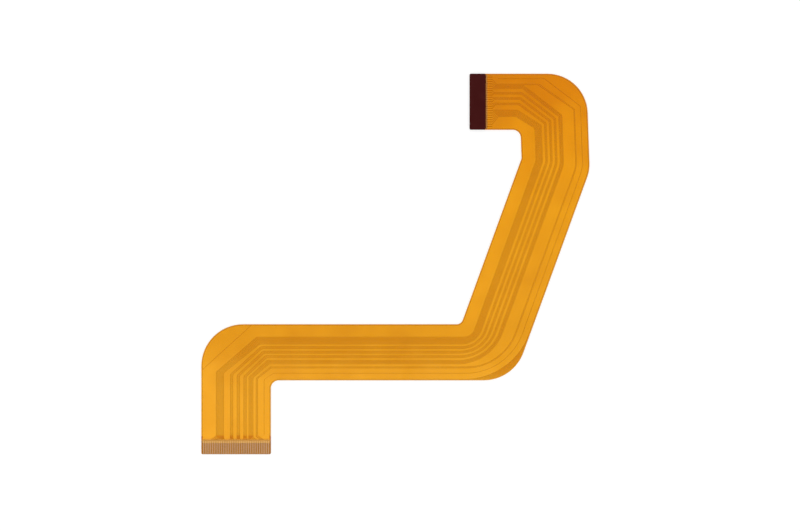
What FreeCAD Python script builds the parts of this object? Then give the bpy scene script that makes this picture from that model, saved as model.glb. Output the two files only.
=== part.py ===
import FreeCAD, Part
import math
import os

from FreeCAD import Vector

# A flat flex cable: a copper pattern bonded between two thin amber films, with a contact tail
# at each end. It lies flat, and +Z points to its coverlay side. All sizes are in millimetres.
# The cable runs from its lower tail through a leg, an arm, a diagonal, a riser and a head to its
# upper tail. Each of these five straight stretches is measured along from its start and across
# from its left edge, looking along the run.

# Contacts of the two tails
contact_pitch = 0.50
contact_width = 0.30
contact_setback = 0.10
lower_exposed_length = 3.00
upper_exposed_length = 3.00

# Layers, from the table up
lower_stiffener_thickness = 0.20
base_film_thickness = 0.050
copper_thickness = 0.035
coverlay_thickness = 0.050
upper_stiffener_thickness = 0.20
glue_line = 0.005

# Stiffeners
lower_stiffener_length = 4.2
upper_stiffener_length = 3.6

# Film outline: lengths along the left edge, widths and turns of the stretches
leg_length = 29.0
arm_length = 58.0
diagonal_length = 39.4
riser_length = 6.4
head_length = 11.4
arm_width = 12.5
diagonal_width = 15.2
riser_width = 15.1
elbow_turn = 70.0
knee_turn = 22.0

# Film outline: corner radii
tail_corner_radius = 0.30
hip_outer_radius = 9.3
hip_inner_radius = 1.8
elbow_outer_radius = 9.4
elbow_inner_radius = 1.5
knee_outer_radius = 8.5
knee_inner_radius = 0.5
shoulder_outer_radius = 9.0
shoulder_inner_radius = 1.8

# Copper pattern: sizes that hold all along the run
signal_count = 6
pair_count = 3
control_count = 3
trace_width = 0.08
signal_pitch = 0.26
pair_pitch = 0.22
control_pitch = 0.28
copper_margin = 0.30
slit_width = 0.12
trace_bend_radius = 0.8

# Copper pattern across the leg
leg_clearance = 0.20
leg_left_strip = 2.95
leg_first_guard = 1.37
leg_guard = 0.80
leg_last_guard = 0.45
leg_supply_strip = 0.56
leg_inner_ground = 1.32

# Copper pattern across the arm
arm_clearance = 0.15
arm_left_strip = 2.50
arm_guard = 0.42
arm_supply_strip = 0.54
arm_inner_ground = 1.05

# Copper pattern across the diagonal and the riser
diagonal_clearance = 0.12
diagonal_left_strip = 2.82
diagonal_guard = 0.54
diagonal_supply_strip = 2.55
diagonal_inner_ground = 1.22

# Copper pattern across the head, where the supply strip has run out to a point
head_clearance = 0.12
head_left_strip = 2.57
head_first_guard = 1.00
head_guard = 0.66
head_inner_ground = 1.05

# Fans, where the copper leaves the contact pitch: how far under cover they start, and their rise
# along the run for each millimetre that they move across it
lower_fan_cover = 0.20
upper_fan_cover = 1.50
lower_fan_slope = 0.80
upper_fan_slope = 0.80

# Bends of the copper. At the hip and the shoulder it cuts the corner between two lines laid across
# the stretches: where each line meets the left edge, and how it leans
leg_bend_depth = 10.1
leg_bend_lean_angle = -9.0
arm_bend_start = 11.0
arm_bend_lean_angle = 25.0
riser_bend_depth = 1.2
riser_bend_lean_angle = 24.0
head_bend_start = 1.8
head_bend_lean_angle = -14.0
outer_bend_start = 6.9
outer_bend_lean_angle = -47.0

# At the elbow and the knee it follows arcs that widen from the inside of the turn
elbow_arc_start = 0.95
elbow_arc_growth_ratio = 1.35
knee_arc_growth_ratio = 0.53

# The long slit in the right ground strip
slit_lower_end = 4.2
slit_upper_end = 6.4


def direction(heading):
    angle = math.radians(heading)
    return Vector(math.cos(angle), math.sin(angle), 0)


class Line:
    """An endless line in the plane of the cable."""

    def __init__(self, point, along):
        self.point = point
        self.along = along

    def crossing(self, other):
        """The point where this line meets another one."""
        apart = other.point - self.point
        turn = self.along.cross(other.along).z
        return self.point + self.along * (apart.cross(other.along).z / turn)


class Stretch:
    """A straight stretch of the cable."""

    def __init__(self, start, heading, length, width):
        self.start = start
        self.heading = heading
        self.length = length
        self.width = width

    def point(self, along, across):
        forward = direction(self.heading) * along
        return self.start + forward + direction(self.heading - 90) * across

    def lane(self, across):
        """The line that runs along the stretch at this distance from its left edge."""
        return Line(self.point(0, across), direction(self.heading))

    def bend_line(self, along, lean):
        """The line laid across the stretch from this place on its left edge."""
        return Line(self.point(along, 0), direction(self.heading - 90 + lean))


# The shortest side that an outline may have, and the most of a side that its two arcs may take
shortest_side = 0.001
arc_share = 0.98


def outline(corners):
    """A closed wire through corners, each given as a point and the radius that rounds it."""
    kept = []
    for point, radius in corners:
        if not kept or point.distanceToPoint(kept[-1][0]) > shortest_side:
            kept.append((point, radius))
    following = kept[1:] + kept[:1]
    sides = [after[0] - corner[0] for corner, after in zip(kept, following)]
    half_turns = [sides[i - 1].getAngle(sides[i]) / 2 for i in range(len(kept))]
    reaches = [corner[1] * math.tan(turn) for corner, turn in zip(kept, half_turns)]
    # A side that is too short for the arcs at its two ends shortens both in proportion
    shares = []
    for side, reach, next_reach in zip(sides, reaches, reaches[1:] + reaches[:1]):
        shares.append(min(1, arc_share * side.Length / max(reach + next_reach, shortest_side)))
    bends = []
    for i, (point, radius) in enumerate(kept):
        reach = reaches[i] * min(shares[i - 1], shares[i])
        back = sides[i - 1] * (-1 / sides[i - 1].Length)
        ahead = sides[i] * (1 / sides[i].Length)
        first = point + back * reach
        last = point + ahead * reach
        middle = first
        if reach > 0:
            inward = back + ahead
            inward.normalize()
            drawn_radius = reach / math.tan(half_turns[i])
            middle = point + inward * (drawn_radius / math.cos(half_turns[i]) - drawn_radius)
        bends.append((first, middle, last))
    edges = []
    for i, (first, middle, last) in enumerate(bends):
        edges.append(Part.LineSegment(bends[i - 1][2], first).toShape())
        if first != last:
            edges.append(Part.Arc(first, middle, last).toShape())
    return Part.Wire(edges)


def plate(corners, bottom, thickness):
    """A flat sheet of this outline and thickness."""
    face = Part.Face(outline(corners))
    face.translate(Vector(0, 0, bottom))
    return face.extrude(Vector(0, 0, thickness))


# The conductors from left to right: node name, contacts in the lower tail, contacts in the upper
conductors = [("left_ground_strip", 4, 2)]
conductors += [(f"signal_trace_{i + 1}", 1, 1) for i in range(signal_count)]
conductors += [("guard_strip_1", 2, 1)]
for i in range(pair_count):
    conductors += [(f"pair_{i + 1}_trace_a", 1, 1), (f"pair_{i + 1}_trace_b", 1, 1)]
    conductors += [(f"guard_strip_{i + 2}", 1, 1)]
conductors += [(f"control_trace_{i + 1}", 1, 1) for i in range(control_count)]
conductors += [("supply_strip", 2, 0)]
conductors += [("sense_trace", 1, 1)]
conductors += [("right_ground_strip", 3, 2)]


def tail_width(counts):
    return (sum(counts) + 1) * contact_pitch


leg_width = tail_width([lower for name, lower, upper in conductors])
head_width = tail_width([upper for name, lower, upper in conductors])

leg = Stretch(Vector(0, 0, 0), 90, leg_length, leg_width)
arm = Stretch(leg.point(leg_length, 0), 0, arm_length, arm_width)
diagonal = Stretch(arm.point(arm_length, 0), elbow_turn, diagonal_length, diagonal_width)
riser_heading = elbow_turn + knee_turn
riser = Stretch(diagonal.point(diagonal_length, 0), riser_heading, riser_length, riser_width)
head = Stretch(riser.point(riser_length, 0), 180, head_length, head_width)


def film_corners(lower_end, upper_end):
    """Corners of the film outline between two distances from the ends of the tails."""
    last = head_length - upper_end
    right = [s.lane(s.width) for s in (leg, arm, diagonal, riser, head)]
    return [
        (leg.point(lower_end, 0), tail_corner_radius),
        (leg.point(lower_end, leg_width), tail_corner_radius),
        (right[0].crossing(right[1]), hip_inner_radius),
        (right[1].crossing(right[2]), elbow_outer_radius),
        (right[2].crossing(right[3]), knee_outer_radius),
        (right[3].crossing(right[4]), shoulder_outer_radius),
        (head.point(last, head_width), tail_corner_radius),
        (head.point(last, 0), tail_corner_radius),
        (head.start, shoulder_inner_radius),
        (riser.start, knee_inner_radius),
        (diagonal.start, elbow_inner_radius),
        (arm.start, hip_outer_radius),
    ]


def tail_corners(stretch, first, last):
    """Corners of a stiffener that covers the full width of a tail."""
    return [
        (stretch.point(first, 0), tail_corner_radius),
        (stretch.point(first, stretch.width), tail_corner_radius),
        (stretch.point(last, stretch.width), tail_corner_radius),
        (stretch.point(last, 0), tail_corner_radius),
    ]


def spans_across(stretch, clearance, left_strip, guards, supply_strip):
    """Left and right edge of each conductor across a stretch, stacked from its left margin."""
    spans = {}
    place = copper_margin

    def lay(names, width, pitch):
        nonlocal place
        for i, name in enumerate(names):
            spans[name] = (place + i * pitch, place + i * pitch + width)
        place = spans[names[-1]][1] + clearance

    lay(["left_ground_strip"], left_strip, 0)
    lay([f"signal_trace_{i + 1}" for i in range(signal_count)], trace_width, signal_pitch)
    lay(["guard_strip_1"], guards[0], 0)
    for i in range(pair_count):
        lay([f"pair_{i + 1}_trace_a", f"pair_{i + 1}_trace_b"], trace_width, pair_pitch)
        lay([f"guard_strip_{i + 2}"], guards[i + 1], 0)
    lay([f"control_trace_{i + 1}" for i in range(control_count)], trace_width, control_pitch)
    lay(["supply_strip"], supply_strip, 0)
    lay(["sense_trace"], trace_width, 0)
    spans["right_ground_strip"] = (place, stretch.width - copper_margin)
    return spans


leg_guards = [leg_first_guard] + [leg_guard] * (pair_count - 1) + [leg_last_guard]
arm_guards = [arm_guard] * (pair_count + 1)
diagonal_guards = [diagonal_guard] * (pair_count + 1)
head_guards = [head_first_guard] + [head_guard] * pair_count
diagonal_copper = (diagonal_clearance, diagonal_left_strip, diagonal_guards, diagonal_supply_strip)

leg_spans = spans_across(leg, leg_clearance, leg_left_strip, leg_guards, leg_supply_strip)
arm_spans = spans_across(arm, arm_clearance, arm_left_strip, arm_guards, arm_supply_strip)
diagonal_spans = spans_across(diagonal, *diagonal_copper)
riser_spans = spans_across(riser, *diagonal_copper)
head_spans = spans_across(head, head_clearance, head_left_strip, head_guards, 0)

leg_bend = leg.bend_line(leg_length - leg_bend_depth, leg_bend_lean_angle)
arm_bend = arm.bend_line(arm_bend_start, arm_bend_lean_angle)
riser_bend = riser.bend_line(riser_length - riser_bend_depth, riser_bend_lean_angle)
head_bend = head.bend_line(head_bend_start, head_bend_lean_angle)
outer_bend = head.bend_line(outer_bend_start, outer_bend_lean_angle)


def run_corners(places, shoulder_line, hugs_hip=False, shoulder_radius=None):
    """Corners of a copper edge from the leg to the head, at these distances from the left edge."""
    lanes = [s.lane(place) for s, place in zip((leg, arm, diagonal, riser, head), places)]
    if hugs_hip:
        hip = [(lanes[0].crossing(lanes[1]), hip_inner_radius + copper_margin)]
    else:
        hip = [
            (lanes[0].crossing(leg_bend), trace_bend_radius),
            (lanes[1].crossing(arm_bend), trace_bend_radius),
        ]
    elbow_radius = max(
        elbow_inner_radius + copper_margin, elbow_arc_growth_ratio * (places[1] - elbow_arc_start)
    )
    knee_radius = knee_inner_radius + knee_arc_growth_ratio * places[2]
    if shoulder_radius:
        shoulder = [(lanes[3].crossing(lanes[4]), shoulder_radius)]
    else:
        shoulder = [
            (lanes[3].crossing(riser_bend), trace_bend_radius),
            (lanes[4].crossing(shoulder_line), trace_bend_radius),
        ]
    elbow = [(lanes[1].crossing(lanes[2]), elbow_radius)]
    knee = [(lanes[2].crossing(lanes[3]), knee_radius)]
    return hip + elbow + knee + shoulder


def contact_edges(first, count):
    """Left and right edges of neighbouring contacts, counted from the left edge of a tail."""
    centres = [(first + i) * contact_pitch for i in range(count)]
    return [(centre - contact_width / 2, centre + contact_width / 2) for centre in centres]


def comb(stretch, tip, root, contacts):
    """Corners of the contacts at a tail, from the first one's left side to the last one's right."""
    corners = []
    for left, right in contacts:
        sides = [(root, left), (tip, left), (tip, right), (root, right)]
        corners += [(stretch.point(along, across), 0) for along, across in sides]
    return corners


lower_root = lower_exposed_length + lower_fan_cover
upper_root = head_length - upper_stiffener_length - upper_fan_cover
stretch_spans = (leg_spans, arm_spans, diagonal_spans, riser_spans, head_spans)


def conductor_corners(name, lower_contacts, upper_contacts):
    """The outline of a conductor with its contacts, fans and bends."""
    spans = [spans_there[name] for spans_there in stretch_spans]
    past_supply = name in ("sense_trace", "right_ground_strip")
    sides = []
    for side in (0, 1):
        places = [span[side] for span in spans]
        hugs_left = name == "left_ground_strip" and side == 0
        hugs_right = name == "right_ground_strip" and side == 1
        beside_point = name == "supply_strip" and side == 1
        shoulder_line = outer_bend if past_supply or beside_point else head_bend
        shoulder_radius = None
        if hugs_left:
            shoulder_radius = shoulder_inner_radius + copper_margin
        if hugs_right:
            shoulder_radius = shoulder_outer_radius - copper_margin
        corners = run_corners(places, shoulder_line, hugs_right, shoulder_radius)
        lower_edge = lower_contacts[0][0] if side == 0 else lower_contacts[-1][1]
        lower_rise = abs(places[0] - lower_edge) * lower_fan_slope
        corners.insert(0, (leg.point(lower_root + lower_rise, places[0]), 0))
        if upper_contacts:
            upper_edge = upper_contacts[0][0] if side == 0 else upper_contacts[-1][1]
            upper_rise = abs(places[4] - upper_edge) * upper_fan_slope
            corners.append((head.point(upper_root - upper_rise, places[4]), 0))
        elif side == 0:
            # a strip without an upper contact runs out to a sharp point
            corners[-1] = (corners[-1][0], 0)
        sides.append(corners)
    lower_comb = comb(leg, contact_setback, lower_root, lower_contacts)
    upper_comb = comb(head, head_length - contact_setback, upper_root, upper_contacts)
    return lower_comb + sides[1] + upper_comb[::-1] + sides[0][::-1]


def slit_corners():
    """The slit that splits the right ground strip lengthwise between its two ends."""
    inner_widths = (
        leg_inner_ground,
        arm_inner_ground,
        diagonal_inner_ground,
        diagonal_inner_ground,
        head_inner_ground,
    )
    sides = []
    for shift in (0, slit_width):
        places = []
        for spans_there, inner_width in zip(stretch_spans, inner_widths):
            places.append(spans_there["right_ground_strip"][0] + inner_width + shift)
        lower = (leg.point(slit_lower_end, places[0]), 0)
        upper = (head.point(head_length - slit_upper_end, places[4]), 0)
        sides.append([lower] + run_corners(places, outer_bend) + [upper])
    return sides[1] + sides[0][::-1]


def corner_copper_corners():
    """The copper that fills the outer corner of the hip, beyond a slit cut across it."""
    left = leg.lane(copper_margin)
    top = arm.lane(copper_margin)
    low = left.crossing(leg_bend)
    cut = top.crossing(arm_bend) - low
    cut.normalize()
    outward = Vector(-cut.y, cut.x, 0)
    slit = Line(low + outward * slit_width, cut)
    return [
        (left.crossing(slit), 0),
        (top.crossing(slit), 0),
        (left.crossing(top), hip_outer_radius - copper_margin),
    ]


# Heights of the layers
base_bottom = lower_stiffener_thickness + glue_line
copper_bottom = base_bottom + base_film_thickness + glue_line
coverlay_bottom = copper_bottom + copper_thickness + glue_line
upper_stiffener_bottom = coverlay_bottom + coverlay_thickness + glue_line

parts = {}
parts["base_film"] = plate(
    film_corners(0, upper_exposed_length), base_bottom, base_film_thickness
)
parts["coverlay_film"] = plate(
    film_corners(lower_exposed_length, 0), coverlay_bottom, coverlay_thickness
)
parts["lower_stiffener"] = plate(
    tail_corners(leg, 0, lower_stiffener_length), 0, lower_stiffener_thickness
)
parts["upper_stiffener"] = plate(
    tail_corners(head, head_length - upper_stiffener_length, head_length),
    upper_stiffener_bottom,
    upper_stiffener_thickness,
)

lower_next = 1
upper_next = 1
for name, lower_count, upper_count in conductors:
    lower_contacts = contact_edges(lower_next, lower_count)
    upper_contacts = contact_edges(upper_next, upper_count)
    corners = conductor_corners(name, lower_contacts, upper_contacts)
    parts[name] = plate(corners, copper_bottom, copper_thickness)
    lower_next += lower_count
    upper_next += upper_count

slit = plate(slit_corners(), copper_bottom, copper_thickness)
parts["right_ground_strip"] = parts["right_ground_strip"].cut(slit).Solids[0]
parts["corner_copper"] = plate(corner_copper_corners(), copper_bottom, copper_thickness)

# The origin is under the middle of the cable's outline
middle = Part.Face(outline(film_corners(0, 0))).BoundBox.Center

os.makedirs("parts", exist_ok=True)
for name, shape in parts.items():
    shape.translate(Vector(-middle.x, -middle.y, 0))
    shape.exportStep(f"parts/{name}.step")
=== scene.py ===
import math

import bmesh
import bpy
from mathutils import Matrix, Vector


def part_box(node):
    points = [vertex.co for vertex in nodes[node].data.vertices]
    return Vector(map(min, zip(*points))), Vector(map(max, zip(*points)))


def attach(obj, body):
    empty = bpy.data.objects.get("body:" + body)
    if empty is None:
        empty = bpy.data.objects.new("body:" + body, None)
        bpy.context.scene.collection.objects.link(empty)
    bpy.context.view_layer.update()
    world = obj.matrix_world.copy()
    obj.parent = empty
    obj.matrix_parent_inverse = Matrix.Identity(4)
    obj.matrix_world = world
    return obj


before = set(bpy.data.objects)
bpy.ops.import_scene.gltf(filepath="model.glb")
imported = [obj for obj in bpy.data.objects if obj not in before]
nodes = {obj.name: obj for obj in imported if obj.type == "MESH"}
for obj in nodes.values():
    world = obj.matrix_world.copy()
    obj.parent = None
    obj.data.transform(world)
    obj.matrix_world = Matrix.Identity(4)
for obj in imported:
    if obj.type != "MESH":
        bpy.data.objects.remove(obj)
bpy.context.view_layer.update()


# Base film and coverlay film: two sheets of clear amber polyimide, 0.05 mm each. The copper is
# bonded to the lower one, and the upper one is laminated over it with a thin glue under heat. Their
# outer faces are satin. The glue makes both a little cloudy, and the coverlay's lower end creamy.
amber_cloud = (0.66, 0.33, 0.065, 1)
cream_cloud = (0.90, 0.525, 0.147, 1)
coverlay_haze = 0.012
coverlay_end_haze = 0.45
base_haze = 0.015
cloudy_end_length = 0.0005
bond_fade_length = 0.0002
tone_wander = 0.003
tone_reach = 0.045
film_roughness = 0.24
sheen_face_on = 0.005
sheen_edge_on = 0.60
sheen_growth = 5.0
# The film's cut sides carry painted shade: a darker brown that darkens the film's outline
cut_edge_painted_shade = (0.30, 0.17, 0.06, 1)
cut_edge_painted_shade_share = 0.85


def empty_material(name):
    """A new material and its node tree, with nothing in the tree."""
    material = bpy.data.materials.new(name)
    material.use_nodes = True
    material.node_tree.nodes.clear()
    return material, material.node_tree


def add_node(tree, kind, inputs, **settings):
    """Adds a node. Inputs go by name or number, and each is a value or another node's socket."""
    node = tree.nodes.new(kind)
    for name, value in settings.items():
        setattr(node, name, value)
    for place, value in inputs.items():
        if isinstance(value, bpy.types.NodeSocket):
            tree.links.new(value, node.inputs[place])
        else:
            node.inputs[place].default_value = value
    return node


def object_place(tree):
    return add_node(tree, "ShaderNodeTexCoord", {}).outputs["Object"]


def axes_of(tree, vector):
    """The X, Y and Z of a place or a direction."""
    return add_node(tree, "ShaderNodeSeparateXYZ", {"Vector": vector}).outputs


def uneven(tree, place, scale, detail):
    """A value around one half that changes softly from place to place."""
    inputs = {"Vector": place, "Scale": scale, "Detail": detail}
    return add_node(tree, "ShaderNodeTexNoise", inputs).outputs["Fac"]


def relief(tree, height, strength, distance):
    """The directions of a surface whose fine relief follows this height."""
    inputs = {"Strength": strength, "Distance": distance, "Height": height}
    return add_node(tree, "ShaderNodeBump", inputs).outputs["Normal"]


def worked_out(tree, operation, *values):
    """What an operation makes of its values."""
    return add_node(tree, "ShaderNodeMath", dict(enumerate(values)), operation=operation).outputs[0]


def stretched(tree, value, low, high, new_low, new_high):
    """A value carried from one range to another."""
    inputs = {"Value": value, 1: low, 2: high, 3: new_low, 4: new_high}
    return add_node(tree, "ShaderNodeMapRange", inputs).outputs["Result"]


def two_colours(tree, share, first, second):
    """A colour between two others, by the share of the second."""
    mix = add_node(tree, "ShaderNodeMix", {0: share}, data_type="RGBA")
    for socket, colour in ((mix.inputs[6], first), (mix.inputs[7], second)):
        if isinstance(colour, bpy.types.NodeSocket):
            tree.links.new(colour, socket)
        else:
            socket.default_value = colour
    return mix.outputs[2]


def two_finishes(tree, share, first, second):
    """A surface between two others, by the share of the second."""
    inputs = {0: share, 1: first.outputs[0], 2: second.outputs[0]}
    return add_node(tree, "ShaderNodeMixShader", inputs)


def on_cut_sides(tree, share):
    """This share on a piece's upright sides, and nothing on its flat faces."""
    normal = add_node(tree, "ShaderNodeNewGeometry", {}).outputs["True Normal"]
    flatness = worked_out(tree, "ABSOLUTE", axes_of(tree, normal)["Z"])
    return stretched(tree, flatness, 0.2, 0.6, share, 0.0)


def tone_along(tree, value, low, high, tones):
    """A colour that runs through several tones, each at its own value between low and high."""
    share = stretched(tree, value, low, high, 0.0, 1.0)
    ramp = add_node(tree, "ShaderNodeValToRGB", {"Fac": share})
    ramp.color_ramp.interpolation = "EASE"
    stops = ramp.color_ramp.elements
    while len(stops) < len(tones):
        stops.new(0.5)
    for stop, (at, tone) in zip(stops, tones):
        stop.position = (at - low) / (high - low)
        stop.color = tone
    return ramp.outputs["Color"]


def finish_surface(tree, shader):
    add_node(tree, "ShaderNodeOutputMaterial", {"Surface": shader.outputs[0]})


def dress(node_name, material):
    """Gives a piece of the frame this material and no other."""
    materials = nodes[node_name].data.materials
    materials.clear()
    materials.append(material)


def make_film(node_name, tones, bonded_tone, haze, end_haze, inner, outer):
    """Dresses a film. Its sheen grows from the height of its inner face to that of its outer one."""
    material, tree = empty_material("amber_" + node_name)
    place = object_place(tree)
    axes = axes_of(tree, place)
    # Painted shade: the tint changes along the cable, mostly darker towards the head, for the light
    # that falls off away from the lamp. Where it changes wanders by a few millimetres
    shade_wander_noise = uneven(tree, place, 160.0, 4.0)
    wander = stretched(tree, shade_wander_noise, 0.3, 0.7, -tone_wander, tone_wander)
    station = worked_out(tree, "ADD", axes["Y"], wander)
    tint_and_painted_shade = tone_along(tree, station, -tone_reach, tone_reach, tones)
    # Over the lower stiffener the films are bonded on both faces, and have a tone of their own
    bond_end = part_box("lower_stiffener")[1][1]
    bonded = stretched(tree, axes["Y"], bond_end, bond_end + bond_fade_length, 1.0, 0.0)
    tint = two_colours(tree, bonded, tint_and_painted_shade, bonded_tone)
    lower_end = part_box(node_name)[0][1]
    near_end = stretched(tree, axes["Y"], lower_end, lower_end + cloudy_end_length, 1.0, 0.0)
    cloudiness = stretched(tree, near_end, 0.0, 1.0, haze, end_haze)
    cloud_colour = two_colours(tree, near_end, amber_cloud, cream_cloud)
    clear = add_node(tree, "ShaderNodeBsdfTransparent", {"Color": tint})
    cloud = add_node(tree, "ShaderNodeBsdfDiffuse", {"Color": cloud_colour})
    body = two_finishes(tree, cloudiness, clear, cloud)
    # Only the outer face meets the air. The inner one is glued down and has no sheen
    slant = add_node(tree, "ShaderNodeLayerWeight", {"Blend": 0.5}).outputs["Facing"]
    rise = worked_out(tree, "POWER", slant, sheen_growth)
    sheen = stretched(tree, rise, 0.0, 1.0, sheen_face_on, sheen_edge_on)
    is_outer = stretched(tree, axes["Z"], inner, outer, 0.0, 1.0)
    ripple = relief(tree, uneven(tree, place, 900.0, 2.0), 0.12, 0.00003)
    gloss = add_node(
        tree,
        "ShaderNodeBsdfGlossy",
        {"Color": (1, 1, 1, 1), "Roughness": film_roughness, "Normal": ripple},
    )
    face = two_finishes(tree, worked_out(tree, "MULTIPLY", sheen, is_outer), body, gloss)
    # The punched edge is painted browner and duller than the faces, as painted shade along the
    # film's outline
    cut = add_node(tree, "ShaderNodeBsdfDiffuse", {"Color": cut_edge_painted_shade})
    finish_surface(tree, two_finishes(tree, on_cut_sides(tree, cut_edge_painted_shade_share), face, cut))
    dress(node_name, material)


# Each tone stands at its place in Y, from the leg up to the head. The differences between the tones
# are painted shade, not a change in the film
coverlay_tints_and_painted_shade = [
    (-0.028, (0.988, 0.872, 0.450, 1)),
    (-0.016, (0.960, 0.833, 0.372, 1)),
    (-0.004, (0.986, 0.862, 0.388, 1)),
    (0.012, (0.988, 0.860, 0.362, 1)),
    (0.027, (0.984, 0.838, 0.316, 1)),
    (0.040, (0.958, 0.782, 0.250, 1)),
]
base_tints_and_painted_shade = [
    (-0.028, (0.898, 0.713, 0.300, 1)),
    (-0.018, (0.892, 0.666, 0.240, 1)),
    (0.004, (0.877, 0.668, 0.240, 1)),
    (0.025, (0.853, 0.636, 0.230, 1)),
    (0.040, (0.866, 0.628, 0.230, 1)),
]
bonded_coverlay_tone = (0.990, 0.872, 0.450, 1)
bonded_base_tone = (0.980, 0.826, 0.420, 1)
coverlay_bottom, coverlay_top = (corner[2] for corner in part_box("coverlay_film"))
base_bottom, base_top = (corner[2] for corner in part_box("base_film"))
make_film(
    "coverlay_film",
    coverlay_tints_and_painted_shade,
    bonded_coverlay_tone,
    coverlay_haze,
    coverlay_end_haze,
    inner=coverlay_bottom,
    outer=coverlay_top,
)
make_film(
    "base_film",
    base_tints_and_painted_shade,
    bonded_base_tone,
    base_haze,
    base_haze,
    inner=base_top,
    outer=base_bottom,
)


# Copper pattern: rolled copper foil of 0.035 mm, etched into the ground strips, guards and traces.
# Under film it keeps its rolled grain and a slight tarnish. The bare contacts of the two tails are
# plated with nickel and a thin pale gold.
foil_bright = (0.882, 0.646, 0.462, 1)
foil_tarnished = (0.812, 0.559, 0.379, 1)
# The next two foil colours are painted: a lighter one for painted light round the elbow, a darker
# one for painted shade beside the upper tail
foil_painted_light = (0.920, 0.685, 0.530, 1)
foil_painted_shade = (0.790, 0.548, 0.440, 1)
plating_bright = (0.517, 0.305, 0.157, 1)
plating_dull = (0.438, 0.249, 0.116, 1)
# Where the painted light round the elbow and the painted shade beside the upper tail lie and fade
# out
elbow_middle = (0.0200, -0.0192, 0)
painted_light_radius = 0.007
painted_light_fades_by = 0.018
painted_shade_length = 0.003
painted_shade_fades_by = 0.007
upper_bare_length = 0.003
head_margin = 0.001
grain_angle = 0.6
grain_stretch = 14

lower_bare_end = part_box("coverlay_film")[0][1]
upper_bare_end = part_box("upper_stiffener")[0][0] + upper_bare_length
head_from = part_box("upper_stiffener")[0][1] - head_margin

foil_material, tree = empty_material("rolled_copper")
place = object_place(tree)
axes = axes_of(tree, place)
tarnish = stretched(tree, uneven(tree, place, 110.0, 5.0), 0.38, 0.70, 0.0, 1.0)
foil = two_colours(tree, tarnish, foil_bright, foil_tarnished)
# Painted light and shade: the foil is painted brighter round the elbow, and painted darker beside
# the upper tail in the head
from_elbow = add_node(
    tree, "ShaderNodeVectorMath", {0: place, 1: elbow_middle}, operation="DISTANCE"
).outputs["Value"]
painted_light_near_elbow = stretched(tree, from_elbow, painted_light_radius, painted_light_fades_by, 1.0, 0.0)
foil = two_colours(tree, painted_light_near_elbow, foil, foil_painted_light)
painted_shade_end = upper_bare_end + painted_shade_length
painted_shade_fade_end = upper_bare_end + painted_shade_fades_by
painted_shade_near_tail = stretched(tree, axes["X"], painted_shade_end, painted_shade_fade_end, 1.0, 0.0)
in_head = worked_out(tree, "GREATER_THAN", axes["Y"], head_from)
foil = two_colours(tree, worked_out(tree, "MULTIPLY", painted_shade_near_tail, in_head), foil, foil_painted_shade)
# Bare copper lies below the coverlay's end, and past the base film's end at the upper tail
lower_bare = worked_out(tree, "LESS_THAN", axes["Y"], lower_bare_end)
left_of_film = worked_out(tree, "LESS_THAN", axes["X"], upper_bare_end)
upper_bare = worked_out(tree, "MULTIPLY", left_of_film, in_head)
bare = worked_out(tree, "MAXIMUM", lower_bare, upper_bare)
plating = two_colours(tree, tarnish, plating_bright, plating_dull)
# The rolls left a fine grain along one direction of the foil
grain_place = add_node(
    tree,
    "ShaderNodeMapping",
    {"Vector": place, "Rotation": (0, 0, grain_angle), "Scale": (1, grain_stretch, 1)},
).outputs[0]
grain = uneven(tree, grain_place, 420.0, 3.0)
metal = add_node(
    tree,
    "ShaderNodeBsdfPrincipled",
    {
        "Base Color": two_colours(tree, bare, foil, plating),
        "Metallic": 1.0,
        "Roughness": stretched(tree, grain, 0.3, 0.7, 0.37, 0.53),
        "Normal": relief(tree, grain, 0.35, 0.00001),
    },
)
finish_surface(tree, metal)
film_and_stiffeners = ("base_film", "coverlay_film", "lower_stiffener", "upper_stiffener")
for name in nodes:
    if name not in film_and_stiffeners:
        dress(name, foil_material)


# Lower stiffener: a piece of thick amber-brown polyimide, 0.2 mm, bonded under the lower tail so
# that it fits its connector. Its glued face shows between the bare contacts, paler than the outer
# face, and palest at the inner end, where the bonding glue was pressed out.
outer_brown = (0.400, 0.200, 0.062, 1)
outer_deep_brown = (0.330, 0.158, 0.046, 1)
glued_brown = (0.515, 0.350, 0.175, 1)
glued_deep_brown = (0.414, 0.281, 0.138, 1)
glued_end = (0.773, 0.525, 0.267, 1)
glued_end_fade = 0.0003
glue_soaked_from = 0.75

brown_material, tree = empty_material("brown_stiffener")
place = object_place(tree)
axes = axes_of(tree, place)
mottle = uneven(tree, place, 700.0, 4.0)
deep_share = stretched(tree, mottle, 0.35, 0.7, 0.0, 1.0)
outer_face = two_colours(tree, deep_share, outer_brown, outer_deep_brown)
glued_face = two_colours(tree, deep_share, glued_brown, glued_deep_brown)
pale_from = lower_bare_end - glued_end_fade
pale_to = lower_bare_end + glued_end_fade
pale_share = stretched(tree, axes["Y"], pale_from, pale_to, 0.0, 1.0)
glued_face = two_colours(tree, pale_share, glued_face, glued_end)
# The glue has soaked into the top quarter of the thickness
outer_height, glued_height = (corner[2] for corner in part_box("lower_stiffener"))
soaked_height = outer_height + glue_soaked_from * (glued_height - outer_height)
soaked = stretched(tree, axes["Z"], soaked_height, glued_height, 0.0, 1.0)
brown = add_node(
    tree,
    "ShaderNodeBsdfPrincipled",
    {
        "Base Color": two_colours(tree, soaked, outer_face, glued_face),
        "Roughness": 0.55,
        "Specular IOR Level": 0.3,
        "Normal": relief(tree, mottle, 0.2, 0.00002),
    },
)
finish_surface(tree, brown)
dress("lower_stiffener", brown_material)


# Upper stiffener: a dark maroon piece of thick polyimide, 0.2 mm, bonded over the upper tail. Its
# faces are satin, and its cut sides are lighter where the knife has frayed the film.
maroon_colour = (0.046, 0.0051, 0.0048, 1)
worn_maroon = (0.055, 0.0078, 0.0074, 1)
frayed_edge = (0.115, 0.055, 0.050, 1)

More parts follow.
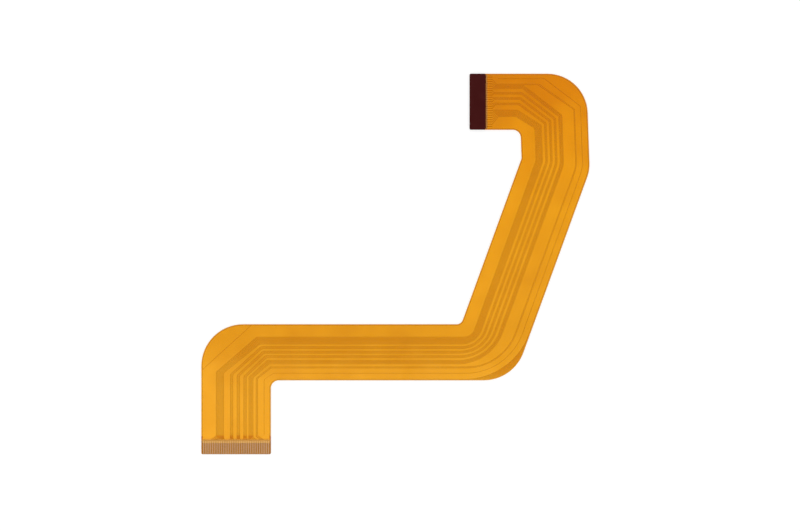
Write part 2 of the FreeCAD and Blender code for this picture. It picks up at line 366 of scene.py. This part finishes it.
maroon_material, tree = empty_material("maroon_stiffener")
place = object_place(tree)
wear = stretched(tree, uneven(tree, place, 260.0, 5.0), 0.40, 0.75, 0.0, 1.0)
face_colour = two_colours(tree, wear, maroon_colour, worn_maroon)
maroon = add_node(
    tree,
    "ShaderNodeBsdfPrincipled",
    {
        "Base Color": two_colours(tree, on_cut_sides(tree, 1.0), face_colour, frayed_edge),
        "Roughness": 0.45,
        "Specular IOR Level": 0.03,
        "Normal": relief(tree, uneven(tree, place, 2600.0, 2.0), 0.15, 0.00001),
    },
)
finish_surface(tree, maroon)
dress("upper_stiffener", maroon_material)


# Glue beads: the laminating glue that was pressed out past the coverlay's lower end, and along the
# inner edge of the dark stiffener. Each has hardened to a low rounded bead on the surface below.
lower_bead_width = 0.0005
lower_bead_height = 0.00004
upper_bead_width = 0.0004
upper_bead_height = 0.00011
bead_inset = 0.0002
bead_sides = 24
bead_cuts = 72
broad_drift = 0.14
broad_drift_turns = 41.0
fine_drift = 0.08
fine_drift_turns = 97.0
fine_drift_start = 1.3
clear_glue = (1, 0.96, 0.86, 1)
lower_glue_thin = (0.718, 0.359, 0.087, 1)
lower_glue_thick = (0.856, 0.469, 0.133, 1)
lower_milky_shares = (0.70, 0.85)
upper_glue_thin = (0.552, 0.230, 0.041, 1)
upper_glue_thick = (0.662, 0.304, 0.078, 1)
upper_milky_shares = (0.40, 0.60)
contact_pitch = 0.0005


def make_glue(name, thin, thick, milky_shares, axis, tail_edge):
    """Half-clear glue for a bead along this axis, thicker over each contact of the tail."""
    material, tree = empty_material(name)
    place = object_place(tree)
    turn = 2 * math.pi / contact_pitch
    across = axes_of(tree, place)[axis]
    phase = worked_out(tree, "MULTIPLY_ADD", across, turn, -turn * tail_edge)
    swell = worked_out(tree, "COSINE", phase)
    flow = stretched(tree, uneven(tree, place, 1100.0, 3.0), 0.3, 0.7, -0.35, 0.35)
    depth = worked_out(tree, "ADD", swell, flow)
    thick_share = stretched(tree, depth, -1.0, 1.0, 0.0, 1.0)
    milky_share = stretched(tree, depth, -1.0, 1.0, *milky_shares)
    clear = add_node(tree, "ShaderNodeBsdfTransparent", {"Color": clear_glue})
    milky = add_node(
        tree,
        "ShaderNodeBsdfPrincipled",
        {
            "Base Color": two_colours(tree, thick_share, thin, thick),
            "Roughness": 0.35,
            "Specular IOR Level": 0.2,
        },
    )
    finish_surface(tree, two_finishes(tree, milky_share, clear, milky))
    return material


def make_bead(name, start, end, height, free_way, width, material):
    """Half a flattened rod from start to end, flat side down, with a free edge that wanders."""
    length = (end - start).length
    along = (end - start).normalized()
    upward = Vector((0, 0, 1))
    form = bmesh.new()
    bmesh.ops.create_cone(
        form, cap_ends=True, segments=bead_sides, radius1=1, radius2=1, depth=length
    )
    turned = Matrix((free_way * width / 2, upward * height, along)).transposed()
    bmesh.ops.transform(form, matrix=turned.to_4x4(), verts=form.verts)
    whole_form = form.verts[:] + form.edges[:] + form.faces[:]
    cut = bmesh.ops.bisect_plane(
        form, geom=whole_form, plane_co=(0, 0, 0), plane_no=upward, clear_inner=True
    )
    rim = [part for part in cut["geom_cut"] if isinstance(part, bmesh.types.BMEdge)]
    bmesh.ops.contextual_create(form, geom=rim)

    def run_of(edge):
        return abs((edge.verts[0].co - edge.verts[1].co).dot(along))

    runs = [edge for edge in form.edges if run_of(edge) > length / 2]
    bmesh.ops.subdivide_edges(form, edges=runs, cuts=bead_cuts, use_grid_fill=True)
    # The glue ran out further in some places than in others before it hardened
    for vertex in form.verts:
        reach = vertex.co.dot(along) / length
        out = max(0.0, vertex.co.dot(free_way))
        drift = broad_drift * math.sin(reach * broad_drift_turns)
        drift += fine_drift * math.sin(reach * fine_drift_turns + fine_drift_start)
        vertex.co += free_way * out * drift
    bmesh.ops.translate(form, vec=(start + end) / 2, verts=form.verts)
    bmesh.ops.recalc_face_normals(form, faces=form.faces)
    mesh = bpy.data.meshes.new(name)
    form.to_mesh(mesh)
    form.free()
    mesh.shade_smooth()
    mesh.materials.append(material)
    bead = bpy.data.objects.new(name, mesh)
    bpy.context.scene.collection.objects.link(bead)
    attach(bead, "root")


tail_low, tail_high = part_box("lower_stiffener")
copper_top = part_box("left_ground_strip")[1][2]
bead_y = lower_bare_end - lower_bead_width / 2
cream_glue = make_glue(
    "cream_glue", lower_glue_thin, lower_glue_thick, lower_milky_shares, "X", tail_low[0]
)
make_bead(
    "glue_bead_lower",
    Vector((tail_low[0] + bead_inset, bead_y, copper_top)),
    Vector((tail_high[0] - bead_inset, bead_y, copper_top)),
    lower_bead_height,
    Vector((0, -1, 0)),
    lower_bead_width,
    cream_glue,
)
plate_low, plate_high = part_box("upper_stiffener")
bead_x = plate_high[0] + upper_bead_width / 2
tan_glue = make_glue(
    "tan_glue", upper_glue_thin, upper_glue_thick, upper_milky_shares, "Y", plate_low[1]
)
make_bead(
    "glue_bead_upper",
    Vector((bead_x, plate_low[1] + bead_inset, coverlay_top)),
    Vector((bead_x, plate_high[1] - bead_inset, coverlay_top)),
    upper_bead_height,
    Vector((1, 0, 0)),
    upper_bead_width,
    tan_glue,
)


# Table: a plain pale surface under the cable, far wider than the view. It is seen as pure white,
# also in metal and through film, and it still carries the cable's own soft shadow.
table_size = 6.0
table_drop = 0.00002
table_grey = (0.41, 0.41, 0.41, 1)
table_lift = 0.62

form = bmesh.new()
bmesh.ops.create_grid(form, x_segments=1, y_segments=1, size=table_size / 2)
bmesh.ops.translate(form, vec=(0, 0, -table_drop), verts=form.verts)
mesh = bpy.data.meshes.new("table")
form.to_mesh(mesh)
form.free()
table_material, tree = empty_material("white_table")
paper = add_node(tree, "ShaderNodeBsdfDiffuse", {"Color": table_grey})
path = add_node(tree, "ShaderNodeLightPath", {}).outputs
seen = path["Is Camera Ray"]
for kind_of_ray in ("Is Glossy Ray", "Is Transmission Ray"):
    seen = worked_out(tree, "MAXIMUM", seen, path[kind_of_ray])
lift = worked_out(tree, "MULTIPLY", seen, table_lift)
glow = add_node(tree, "ShaderNodeEmission", {"Color": (1, 1, 1, 1), "Strength": lift})
surface = add_node(tree, "ShaderNodeAddShader", {0: paper.outputs[0], 1: glow.outputs[0]})
finish_surface(tree, surface)
mesh.materials.append(table_material)
table = bpy.data.objects.new("table", mesh)
bpy.context.scene.collection.objects.link(table)


# Light and camera: one large soft lamp from the lower left and an even white surround. The camera
# looks straight down from above the middle of the cable.
surround_strength = 1.0
lamp_power = 0.30
lamp_width = 0.4
lamp_place = (-0.25, -0.25, 0.5)
camera_place = (0.001027, -0.000335, 0.4219)
camera_lens = 85
camera_sensor_width = 36
camera_clip_start = 0.01

world = bpy.data.worlds.new("studio")
world.use_nodes = True
surround = world.node_tree.nodes["Background"]
surround.inputs["Color"].default_value = (1, 1, 1, 1)
surround.inputs["Strength"].default_value = surround_strength
bpy.context.scene.world = world

lamp_data = bpy.data.lights.new("soft_lamp", "AREA")
lamp_data.energy = lamp_power
lamp_data.size = lamp_width
lamp = bpy.data.objects.new("soft_lamp", lamp_data)
lamp.location = lamp_place
lamp.rotation_euler = (-Vector(lamp_place)).to_track_quat("-Z", "Y").to_euler()
bpy.context.scene.collection.objects.link(lamp)

camera_data = bpy.data.cameras.new("camera")
camera_data.lens = camera_lens
camera_data.sensor_width = camera_sensor_width
camera_data.sensor_fit = "HORIZONTAL"
camera_data.clip_start = camera_clip_start
camera = bpy.data.objects.new("camera", camera_data)
camera.location = camera_place
bpy.context.scene.collection.objects.link(camera)
bpy.context.scene.camera = camera
bpy.context.scene.view_settings.view_transform = "Standard"
